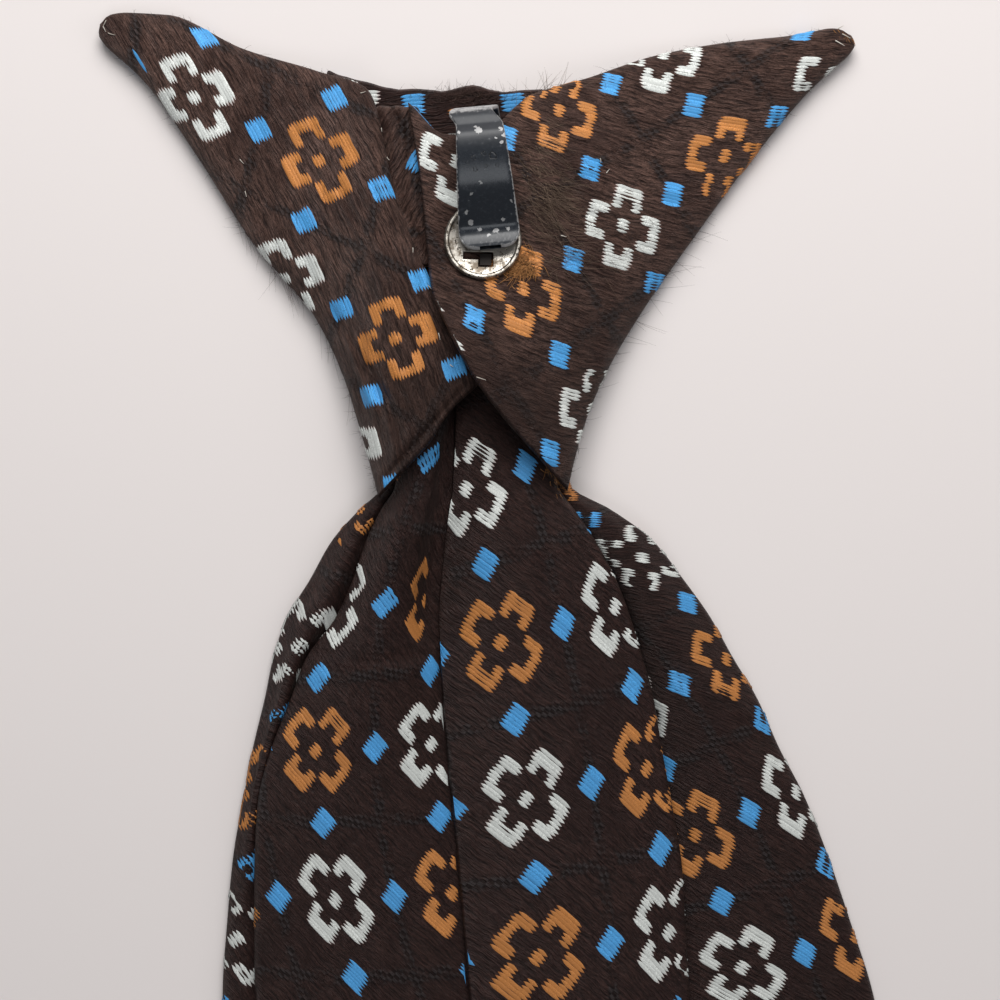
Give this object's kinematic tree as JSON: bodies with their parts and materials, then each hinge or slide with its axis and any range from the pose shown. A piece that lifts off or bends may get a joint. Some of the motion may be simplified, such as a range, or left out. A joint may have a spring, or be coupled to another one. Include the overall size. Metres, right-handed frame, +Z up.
{
  "type": "clip-on necktie",
  "caption": "Clip-on necktie lying face down: folded cloth blade with a plain point, knot front, crossed padded wings, and a painted spring clip over a metal disc.",
  "frame": {"origin": "middle of the foot of the part's box, on the surface that the tie lies on", "axes": "+Z up, away from the surface and towards the clip; +Y along the tie from the blade's point to the knot; +X to the right across the wings seen from the back"},
  "size_m": [0.1644, 0.4762, 0.02],
  "materials": {
    "blade_cloth": "dark brown figured satin weave with small white, orange and blue figures",
    "knot_cloth": "dark brown figured satin weave",
    "wing_cloth": "dark brown figured satin weave, napped where worn",
    "black_paint": "gloss black enamel, worn to bare steel at the bend and edges",
    "nickel": "dull nickel plate, stained and pitted",
    "dark_steel": "dark tarnished steel"
  },
  "bodies": {
    "root": {"blade": "blade_cloth", "knot_face": "knot_cloth", "knot_tuck": "knot_cloth", "wing_left": "wing_cloth", "wing_right": "wing_cloth", "clip_arm": "black_paint", "clip_disc": "nickel", "clip_prong": "dark_steel"}
  },
  "joints": []
}
